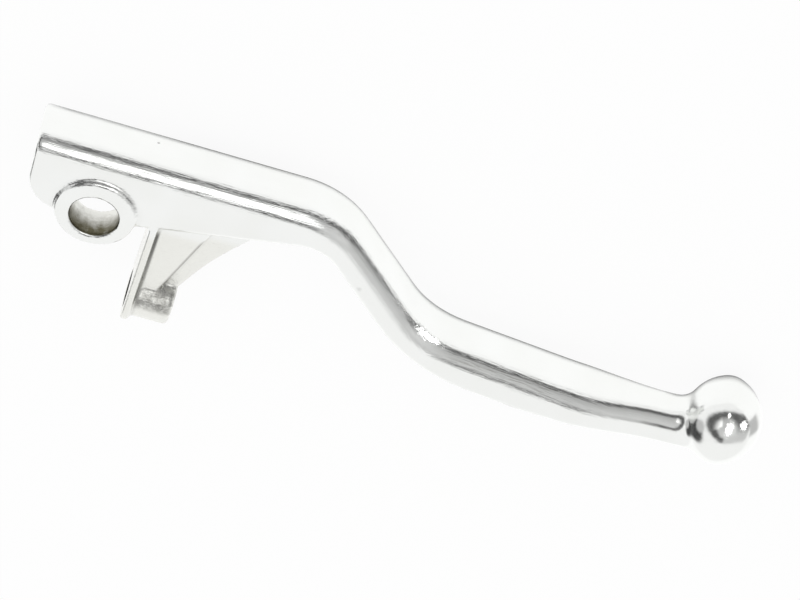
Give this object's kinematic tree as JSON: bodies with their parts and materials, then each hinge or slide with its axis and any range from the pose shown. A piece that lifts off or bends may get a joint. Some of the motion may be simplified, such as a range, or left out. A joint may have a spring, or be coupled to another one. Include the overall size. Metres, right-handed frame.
{
  "type": "motorcycle brake lever",
  "caption": "Cast aluminium front brake lever with a pivot eye, S-bend, finger grip, ball end and a ribbed actuating arm with a tapped screw barrel.",
  "frame": {"origin": "on the pivot bore's axis, at the lower face of the eye's boss and at half the depth of the lever", "axes": "+Z along the pivot axis, out of the upper side of the lever; +X from the pivot towards the ball end; +Y forward, away from the rider"},
  "size_m": [0.1583, 0.0457, 0.0186],
  "materials": {
    "polished_aluminium": "polished"
  },
  "bodies": {
    "root": {"brake_lever": "polished_aluminium"}
  },
  "joints": []
}
